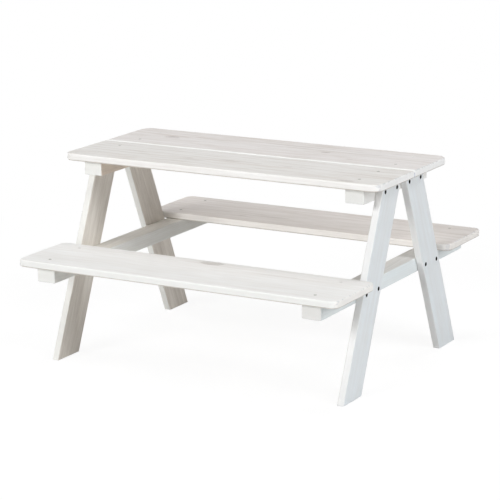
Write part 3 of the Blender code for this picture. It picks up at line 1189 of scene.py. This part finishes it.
@dataclass(frozen=True)
class BoltSizes:
    """The leg bolts, their counterbores and their barrel nuts."""

    diameter: float = 0.006
    head_diameter: float = 0.009
    head_height: float = 0.005
    head_round: float = 0.0006
    head_sink: float = 0.0015
    socket_width: float = 0.005
    socket_depth: float = 0.003
    clearance: float = 0.0005
    thread_pitch: float = 0.001
    thread_depth: float = 0.0005
    thread_length: float = 0.022
    tip_taper: float = 0.0012
    nut_diameter: float = 0.010
    nut_slot_width: float = 0.0015
    nut_slot_depth: float = 0.0015
    nut_round: float = 0.0004

    @property
    def bore(self) -> float:
        """The radius of the counterbore."""
        return self.head_diameter / 2 + self.clearance

    def hole(self, thickness: float) -> bpy.types.Mesh:
        """Makes the cutter of one counterbored hole around Z.

        Args:
            thickness: The thickness of the leg that it goes through.

        Returns:
            The cutter.
        """
        shank = self.diameter / 2 + SEATING_GAP
        floor = thickness / 2 - self.head_sink - self.head_height - SEATING_GAP
        end = thickness / 2 + CUT_OVERRUN
        outline = [(0, -end), (shank, -end), (shank, floor), (self.bore, floor), (self.bore, end),
                   (0, end)]
        return Solid().turned(outline).mesh("bolt_hole")

    def bolt(self, length: float) -> bpy.types.Mesh:
        """Makes a bolt along Z, with the underside of its socket head at the origin.

        Args:
            length: The length of its shank.

        Returns:
            The bolt's mesh.
        """
        step = self.thread_pitch / THREAD_STEPS
        count = math.floor(self.thread_length / step)
        shank = partial(self.shank_radius, -length, -length + step * count)
        rings = [(-length + step * number, shank) for number in range(count + 1)]
        rings += [(0.0, shank), (0.0, even(self.head_diameter / 2))]
        inner = self.head_diameter / 2 - self.head_round
        shoulder = self.head_height - self.head_round
        for part in range(ARRIS_SEGMENTS + 1):
            bend = QUARTER_TURN * part / ARRIS_SEGMENTS
            rings.append((shoulder + self.head_round * math.sin(bend),
                          even(inner + self.head_round * math.cos(bend))))
        across_corners = self.socket_width / math.cos(math.pi / SOCKET_SIDES)
        socket = Solid().pin(across_corners / 2, self.head_height - self.socket_depth,
                             self.head_height + CUT_OVERRUN, SOCKET_SIDES)
        return carve(Solid().rings(rings).mesh("bolt"), [socket.mesh("socket")])

    def shank_radius(self, tip: float, thread_top: float, turn: float, height: float) -> float:
        """Gives the shank's radius, threaded at the bottom and tapering to its tip.

        Args:
            tip: The height of the tip.
            thread_top: The height at which the thread ends.
            turn: The turn about Z.
            height: The height.

        Returns:
            The radius.
        """
        if height >= thread_top:
            return self.diameter / 2
        taper = max(0.0, self.tip_taper - (height - tip)) / 2
        cut = self.thread_depth * groove(turn, height, self.thread_pitch)
        return self.diameter / 2 - cut - taper

    def nut(self, length: float) -> bpy.types.Mesh:
        """Makes a barrel nut along Z around its middle, with its cross bore and its slot.

        Args:
            length: Its length.

        Returns:
            The nut's mesh.
        """
        half, radius, bevel = length / 2, self.nut_diameter / 2, self.nut_round
        outline = [(0, -half), (radius - bevel, -half), (radius, bevel - half),
                   (radius, half - bevel), (radius - bevel, half), (0, half)]
        reach = radius + CUT_OVERRUN
        bore = Solid().pin(self.diameter / 2 + SEATING_GAP, -reach, reach)
        bore.move(Matrix.Rotation(QUARTER_TURN, 4, "Y"))
        slot = Solid().block((reach * 2, self.nut_slot_width, self.nut_slot_depth * 2),
                             (0, 0, -half))
        return carve(Solid().turned(outline).mesh("barrel_nut"),
                     [bore.mesh("nut_bore"), slot.mesh("nut_slot")])


@dataclass(frozen=True)
class Planks:
    """The level boards: the two of the tabletop and the two seats."""

    corner_radius: float = 0.026
    seam_corner_radius: float = 0.005
    seat_corner_radius: float = 0.020
    edge_radius: float = 0.004
    # Width of the painted highlight beside the tabletop's seam
    seam_glaze_width: float = 0.0072
    screws: ScrewSizes = ScrewSizes()

    def build(self) -> None:
        """Makes the four boards and their screws."""
        for depth in Depth:
            outer = depth.value
            piece = self.plank(f"{depth.word}_tabletop_plank", f"tabletop_{depth.word}", "tabletop",
                               {outer: self.corner_radius, -outer: self.seam_corner_radius})
            TABLETOP_PINE[depth].dress(piece, self.lie(f"tabletop_{depth.word}_board", -outer))
            piece = self.plank(f"{depth.word}_seat_plank", f"{depth.word}_seat", "seat",
                               {1: self.seat_corner_radius, -1: self.seat_corner_radius})
            SEAT_PINE[depth].dress(piece, self.lie(f"{depth.word}_seat_board", 0))

    def lie(self, node: str, seam: int) -> Lie:
        """Tells how a level board lies.

        Args:
            node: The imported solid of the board.
            seam: Where its seam is along Y: 1, -1, or 0 if it has none.

        Returns:
            How it lies.
        """
        extent = Extent.of(node)
        return Lie(extent.centre, Euler((0, 0, 0)), Vector((0, 0, -1)), seam,
                   extent.size.y / 2 - self.seam_glaze_width)

    def plank(self, name: str, stem: str, slot: str, corners: dict[int, float]
              ) -> bpy.types.Object:
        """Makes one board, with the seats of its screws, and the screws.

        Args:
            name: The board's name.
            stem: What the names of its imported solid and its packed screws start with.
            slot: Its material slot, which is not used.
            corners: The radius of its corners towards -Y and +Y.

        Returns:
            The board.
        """
        extent = Extent.of(f"{stem}_board")
        plank = Solid().block(extent.size)
        for way, radius in corners.items():
            edges = [edge for edge in plank.upright_edges() if edge.verts[0].co.y * way > 0]
            plank.round_edges(edges, radius, CORNER_SEGMENTS)
        plank.round_edges(plank.rims(), self.edge_radius, EDGE_SEGMENTS)
        plank.support_faces()
        plank.move(Matrix.Translation(extent.centre))
        seats = []
        for side, place in product(Side, Place):
            screw_node = f"{stem}_screw_{side.word}_{place.word}"
            spot = Extent.of(screw_node)
            where = Matrix.Translation((spot.centre.x, spot.centre.y, 0))
            self.add_screw(screw_node, where, extent.high.z, spot.low.z)
            seat = self.screws.seat(extent.high.z, extent.low.z)
            seat.transform(where)
            seats.append(seat)
        return put(name, carve(plank.mesh(name), seats), f"{stem}_board")

    def add_screw(self, node: str, where: Matrix, top: float, tip: float) -> None:
        """Adds one screw.

        Args:
            node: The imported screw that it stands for.
            where: Its place along the board and across it.
            top: The height of the board's top.
            tip: The height of the screw's point.
        """
        mesh = self.screws.screw(top, tip)
        mesh.transform(where)
        finish = GLAZED_OVER if node in GLAZED_SCREWS else ZINC_STEEL
        finish.dress(put(f"{node}_steel", mesh, node))


@dataclass(frozen=True)
class Legs:
    """The four legs: boards that lean outwards, cut level at the top and the floor."""

    width: float = 0.086
    lean: float = 0.4318
    edge_radius: float = 0.0025
    end_radius: float = 0.001
    bolts: BoltSizes = BoltSizes()

    def build(self) -> None:
        """Makes the four legs."""
        for side, depth in product(Side, Depth):
            self.leg(side, depth)

    def leg(self, side: Side, depth: Depth) -> None:
        """Makes one leg, with the counterbored holes of its bolts.

        Args:
            side: The end of the table that it stands at.
            depth: The long side that it leans to.
        """
        node = f"{side.word}_{depth.word}_leg"
        extent = Extent.of(node)
        level_width = self.width * math.sqrt(1 + self.lean ** 2)
        leg = Solid().block((extent.size.x, level_width, extent.size.z))
        leg.lean(-depth.value * self.lean)
        leg.round_edges(leg.upright_edges(), self.edge_radius, ARRIS_SEGMENTS)
        leg.round_edges(leg.rims(), self.end_radius, ARRIS_SEGMENTS)
        leg.support_faces()
        leg.move(Matrix.Translation(extent.centre))
        holes, bores = [], []
        for level, place in product(Level, Place):
            bolt = Extent.of(f"{side.word}_{depth.word}_{level.word}_bolt_{place.word}")
            bores.append(Vector((extent.centre.x, bolt.centre.y, bolt.centre.z)))
            hole = self.bolts.hole(extent.size.x)
            hole.transform(Matrix.Translation(bores[-1]) @ side.outwards)
            holes.append(hole)
        name = f"{node}_board"
        piece = put(name, carve(leg.mesh(name), holes), node)
        rise = math.atan2(1, -depth.value * self.lean)
        turn = Matrix.Rotation(rise, 3, "X") @ Matrix.Rotation(QUARTER_TURN, 3, "Z") \
            @ Matrix.Rotation(QUARTER_TURN, 3, "X")
        LEG_PINE[side, depth].dress(piece, Lie(
            extent.centre, turn.to_euler(), Vector((-side.value, 0, 0)), bores=tuple(bores),
            bore_radius=self.bolts.bore))


@dataclass(frozen=True)
class Bearers:
    """The four battens across the table that the boards are screwed to."""

    edge_radius: float = 0.002
    nut_hole_radius: float = 0.0053

    def build(self) -> None:
        """Makes the four battens."""
        for side, level in product(Side, Level):
            self.bearer(side, level)

    def bearer(self, side: Side, level: Level) -> None:
        """Makes one batten, with the holes of its barrel nuts.

        Args:
            side: The end of the table that it lies at.
            level: What it carries.
        """
        node = f"{side.word}_{level.word}_bearer"
        extent = Extent.of(node)
        bearer = Solid().block(extent.size)
        bearer.round_edges(bearer.bm.edges, self.edge_radius, ARRIS_SEGMENTS)
        bearer.support_faces()
        bearer.move(Matrix.Translation(extent.centre))
        holes = []
        for depth, place in product(Depth, Place):
            nut = Extent.of(f"{side.word}_{depth.word}_{level.word}_nut_{place.word}")
            hole = Solid().pin(self.nut_hole_radius, extent.low.z - CUT_OVERRUN,
                               nut.high.z + SEATING_GAP)
            hole.move(Matrix.Translation((nut.centre.x, nut.centre.y, 0)))
            holes.append(hole.mesh("nut_hole"))
        name = f"{side.word}_{level.word}_batten"
        piece = put(name, carve(bearer.mesh(name), holes), node)
        BEARER_PINE[side, level].dress(piece, Lie(
            extent.centre, Euler((0, 0, QUARTER_TURN)), Vector((-side.value, 0, 0))))


@dataclass(frozen=True)
class LegBolts:
    """The bolts through the legs and the barrel nuts in the battens."""

    sizes: BoltSizes = BoltSizes()

    def build(self) -> None:
        """Makes the sixteen bolts and the sixteen nuts."""
        for side, depth, level, place in product(Side, Depth, Level, Place):
            stem = f"{side.word}_{depth.word}_{level.word}"
            self.bolt(side, f"{stem}_bolt_{place.word}")
            self.nut(f"{stem}_nut_{place.word}")

    def bolt(self, side: Side, node: str) -> None:
        """Makes one bolt.

        Args:
            side: The end of the table that its head is at.
            node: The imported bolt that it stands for.
        """
        spot = Extent.of(node)
        mesh = self.sizes.bolt(spot.size.x - self.sizes.head_height)
        head_x = spot.high.x if side is Side.RIGHT else spot.low.x
        seat_x = head_x - side.value * self.sizes.head_height
        seat = Matrix.Translation((seat_x, spot.centre.y, spot.centre.z))
        mesh.transform(seat @ side.outwards)
        BLACK_STEEL.dress(put(f"{node}_black", mesh, node))

    def nut(self, node: str) -> None:
        """Makes one barrel nut.

        Args:
            node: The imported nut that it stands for.
        """
        spot = Extent.of(node)
        mesh = self.sizes.nut(spot.size.z)
        mesh.transform(Matrix.Translation(spot.centre))
        BRIGHT_STEEL.dress(put(f"{node}_bright", mesh, node))


# The finish of each board and fastener

# Painted shade: plank undersides and lower arrises get a darker thin-side colour, partly a thinner
# coat and partly the shade under them
level_pine = partial(GlazedPine, thin_start=0.1, thin_glaze=tone(198, 193, 184))

TABLETOP_PINE = {
    Depth.FRONT: level_pine(
        "front_tabletop_glaze", 3.1, glaze=tone(237, 235, 232), cloud_show=0.12,
        pith_across=-0.020,
        knots=(Knot(0.338, -0.080, 0.006, 3.6, 0.9), Knot(-0.010, -0.003, 0.006, 5.0, 0.25),
               Knot(-0.280, 0.007, 0.002, 14.0, 0.5), Knot(-0.085, -0.016, 0.002, 9.0, 0.4),
               Knot(0.146, -0.002, 0.003, 4.0, 0.5))),
    Depth.REAR: level_pine(
        "rear_tabletop_glaze", 7.7, glaze=tone(237, 233, 231), cloud_show=0.10,
        pith_across=0.030,
        knots=(Knot(-0.302, 0.009, 0.009, 2.2, 1.0), Knot(-0.276, -0.006, 0.003, 2.4, 0.7),
               Knot(0.145, 0.004, 0.005, 2.4, 0.9), Knot(0.237, -0.049, 0.004, 2.0, 0.35),
               Knot(0.360, -0.017, 0.002, 14.0, 0.5))),
}

# Painted light and shade: the rear seat's top is darker as in the tabletop's shade and its front
# edge lighter, while the front seat's top is lighter and its front edge darker
SEAT_PINE = {
    Depth.FRONT: level_pine(
        "front_seat_glaze", 12.4, glaze=tone(247, 247, 246), edge_glaze=tone(235, 236, 234),
        end_glaze=tone(249, 247, 243), contrast=0.42, ring_show=0.03, cloud_show=0.03,
        pith_across=0.040,
        knots=(Knot(0.007, 0.080, 0.014, 2.2, 0.8), Knot(0.210, 0.045, 0.006, 9.0, 0.3))),
    Depth.REAR: level_pine(
        "rear_seat_glaze", 17.9, glaze=tone(235, 229, 225), edge_glaze=tone(250, 247, 243),
        end_glaze=tone(245, 241, 236), contrast=0.9, pith_across=-0.030,
        knots=(Knot(0.410, 0.012, 0.004, 6.0, 0.25), Knot(-0.180, -0.050, 0.005, 2.0, 0.4))),
}

# Painted light: the legs' narrow faces are a little lighter and warmer at the left end than at the
# right
LEG_EDGES = {Side.LEFT: tone(236, 236, 232), Side.RIGHT: tone(232, 233, 233)}

# Painted shade: the legs' inner faces are tinted warm as they look in shade, the rear legs' lighter
# and more fully glazed
LEG_INSIDES = {Depth.FRONT: tone(249, 241, 230), Depth.REAR: tone(255, 246, 235)}

LEG_LOSSES = {Depth.FRONT: 0.18, Depth.REAR: 0.14}

LEG_PINE = {
    (side, depth): GlazedPine(
        f"{side.word}_{depth.word}_leg_glaze", 20.0 + 3.3 * number, glaze=tone(231, 236, 239),
        edge_glaze=LEG_EDGES[side], thin_glaze=LEG_INSIDES[depth], cover=0.90,
        thin_loss=LEG_LOSSES[depth], contrast=0.32, ring_show=0.06, cloud_show=0.02,
        thin_grain=3.4, pith_across=0.02 * depth.value, pith_depth=-0.045 * side.value)
    for number, (side, depth) in enumerate(product(Side, Depth))
}

# Painted light and shade: the battens' tops, outer faces, inner faces, glaze loss and ends differ
# by end and level as light falls on them, the table battens' insides warm brown as in shade under
# the tabletop
BEARER_TOPS = {Side.LEFT: tone(235, 232, 225), Side.RIGHT: tone(231, 231, 229)}

BEARER_OUTSIDES = {Level.TABLE: tone(248, 248, 246), Level.SEAT: tone(233, 240, 242)}

BEARER_INSIDES = {Level.TABLE: tone(255, 236, 216), Level.SEAT: tone(243, 242, 237)}

BEARER_LOSSES = {Level.TABLE: 0.10, Level.SEAT: 0.04}

BEARER_ENDS = {
    (Side.LEFT, Level.TABLE): tone(240, 241, 238), (Side.LEFT, Level.SEAT): tone(233, 234, 231),
    (Side.RIGHT, Level.TABLE): tone(233, 234, 232), (Side.RIGHT, Level.SEAT): tone(227, 227, 225),
}

BEARER_PINE = {
    (side, level): GlazedPine(
        f"{side.word}_{level.word}_bearer_glaze", 40.0 + 2.7 * number, glaze=BEARER_TOPS[side],
        edge_glaze=BEARER_OUTSIDES[level], end_glaze=BEARER_ENDS[side, level],
        thin_glaze=BEARER_INSIDES[level], thin_loss=BEARER_LOSSES[level], contrast=0.6,
        pith_across=0.012, pith_depth=-0.030)
    for number, (side, level) in enumerate(product(Side, Level))
}

GLAZED_SCREWS = frozenset({
    "tabletop_rear_screw_left_outer", "tabletop_front_screw_left_outer",
    "tabletop_rear_screw_right_outer", "front_seat_screw_left_inner",
    "front_seat_screw_right_inner", "rear_seat_screw_right_inner",
})

BLACK_STEEL = CoatedSteel("black_steel", tone(18, 17, 18), tone(9, 9, 10), 0.0, 0.75, 0.12)
ZINC_STEEL = CoatedSteel("zinc_steel", tone(172, 168, 160), tone(118, 114, 108), 1.0, 0.42)
GLAZED_OVER = CoatedSteel("glazed_screw", tone(226, 225, 222), tone(204, 201, 196), 0.0, 0.55)
BRIGHT_STEEL = CoatedSteel("bright_steel", tone(210, 210, 206), tone(170, 170, 168), 1.0, 0.32)


# The studio


def way_from_table(azimuth: float, elevation: float) -> Vector:
    """Gives the way to a place round the table, by its turn from the front and its height."""
    run = math.cos(elevation)
    return Vector((math.sin(azimuth) * run, -math.cos(azimuth) * run, math.sin(elevation)))


@dataclass(frozen=True)
class Softbox:
    """A far soft lamp that looks at the table, placed by its way and its height in degrees."""

    name: str
    azimuth: float
    elevation: float
    width: float
    height: float
    power: float
    colour: Triple = (1.0, 1.0, 1.0)
    distance: float = 9.0
    aim_height: float = 0.3

    def build(self) -> None:
        """Hangs the lamp."""
        way = way_from_table(math.radians(self.azimuth), math.radians(self.elevation))
        data = bpy.data.lights.new(self.name, "AREA")
        data.shape = "RECTANGLE"
        data.size = self.width
        data.size_y = self.height
        data.energy = self.power
        data.color = self.colour
        lamp = add_object(self.name, data)
        lamp.location = way * self.distance + Vector((0, 0, self.aim_height))
        lamp.rotation_euler = way.to_track_quat("Z", "Y").to_euler()
        LOG.info("%s: %.0f W", self.name, self.power)


@dataclass(frozen=True)
class Viewpoint:
    """The camera, placed by the way that it looks at the table."""

    azimuth: float = math.radians(29.532)
    elevation: float = math.radians(13.809)
    roll: float = math.radians(-0.573)
    distance: float = 5.24316
    target: Triple = (-0.014691, 0.0, 0.256177)
    lens: float = 151.51
    sensor: float = 36.0

    def build(self) -> None:
        """Sets the camera up."""
        back = way_from_table(self.azimuth, self.elevation)
        right = Vector((math.cos(self.azimuth), math.sin(self.azimuth), 0))
        level = Matrix((right, back.cross(right), back)).transposed()
        turn = level @ Matrix.Rotation(self.roll, 3, "Z")
        data = bpy.data.cameras.new("camera")
        data.lens = self.lens
        data.sensor_width = self.sensor
        camera = add_object("camera", data)
        camera.matrix_world = Matrix.Translation(Vector(self.target) + back * self.distance) \
            @ turn.to_4x4()
        bpy.context.scene.camera = camera
        LOG.info("camera: %.2f m from the table", self.distance)


@dataclass(frozen=True)
class Studio:
    """A white floor that runs on into a white surround, with soft lamps."""

    floor_radius: float = 7.0
    floor_drop: float = 0.0002
    shadow_radius: float = 0.9
    fade_radius: float = 1.7
    floor_tone: Colour = tone(238, 238, 238)
    shown_floor: Colour = (0.14, 0.14, 0.14, 1.0)
    shown_glow: float = 0.90
    white: Colour = tone(255, 255, 255)
    black: Colour = tone(0, 0, 0)
    lamps: tuple[Softbox, ...] = (
        Softbox("front_softbox", azimuth=-16, elevation=21, width=4.4, height=3.0, power=504),
        Softbox("right_softbox", azimuth=78, elevation=22, width=3.5, height=3.4, power=310,
                colour=(0.98, 1.0, 1.02)),
        Softbox("right_top_softbox", azimuth=60, elevation=47, width=2.8, height=2.8, power=150),
        Softbox("left_softbox", azimuth=-90, elevation=37, width=2.8, height=2.8, power=130),
        Softbox("top_softbox", azimuth=180, elevation=86, width=2.8, height=2.8, power=172),
        Softbox("rear_softbox", azimuth=165, elevation=24, width=3.5, height=3.5, power=100),
    )

    def build(self) -> None:
        """Sets up the floor, the surround, the lamps and the picture's settings."""
        self.floor()
        self.surround()
        for lamp in self.lamps:
            lamp.build()
        Viewpoint().build()
        bpy.context.scene.view_settings.view_transform = "Standard"

    def floor(self) -> None:
        """Lays the floor."""
        solid = Solid()
        bmesh.ops.create_circle(solid.bm, cap_ends=True, radius=self.floor_radius,
                                segments=FLOOR_SEGMENTS)
        solid.move(Matrix.Translation((0, 0, -self.floor_drop)))
        floor = add_object("studio_floor", solid.mesh("studio_floor"))
        floor.data.materials.append(self.floor_material())

    def floor_material(self) -> bpy.types.Material:
        """Makes the floor's finish: white to the eye but for the table's soft shadow.

        Returns:
            The material.
        """
        tree = Tree(bpy.data.materials.new("studio_floor"))
        along, across, _ = tree.split(tree.object_place())
        radius = (along * along + across * across).root()
        fade = radius.step(self.shadow_radius, self.fade_radius)
        plain = tree.shader("ShaderNodeBsdfDiffuse", {"Color": self.floor_tone})
        soft = tree.shader("ShaderNodeBsdfDiffuse", {"Color": self.shown_floor})
        glow = tree.shader("ShaderNodeEmission",
                           {"Color": self.white, "Strength": self.shown_glow})
        white = tree.shader("ShaderNodeEmission", {"Color": self.white, "Strength": 1.0})
        shaded = tree.shader("ShaderNodeAddShader", {0: soft, 1: glow})
        shown = tree.shader("ShaderNodeMixShader", {0: fade, 1: shaded, 2: white})
        return tree.finish(tree.shader("ShaderNodeMixShader",
                                       {0: tree.seen(), 1: plain, 2: shown}))

    def surround(self) -> None:
        """Makes the surround white to the eye, and dark to the table."""
        tree = Tree(bpy.data.worlds.new("studio_surround"))
        dark, white = (tree.shader("ShaderNodeBackground", {"Color": colour, "Strength": 1.0})
                       for colour in (self.black, self.white))
        shown = tree.shader("ShaderNodeMixShader", {0: tree.seen(), 1: dark, 2: white})
        bpy.context.scene.world = tree.finish(shown, "ShaderNodeOutputWorld")


def main() -> None:
    """Builds the table and the studio."""
    logging.basicConfig(level=logging.INFO, format="%(message)s")
    for group in (Planks(), Legs(), Bearers(), LegBolts(), Studio()):
        group.build()


if __name__ == "__main__":
    main()
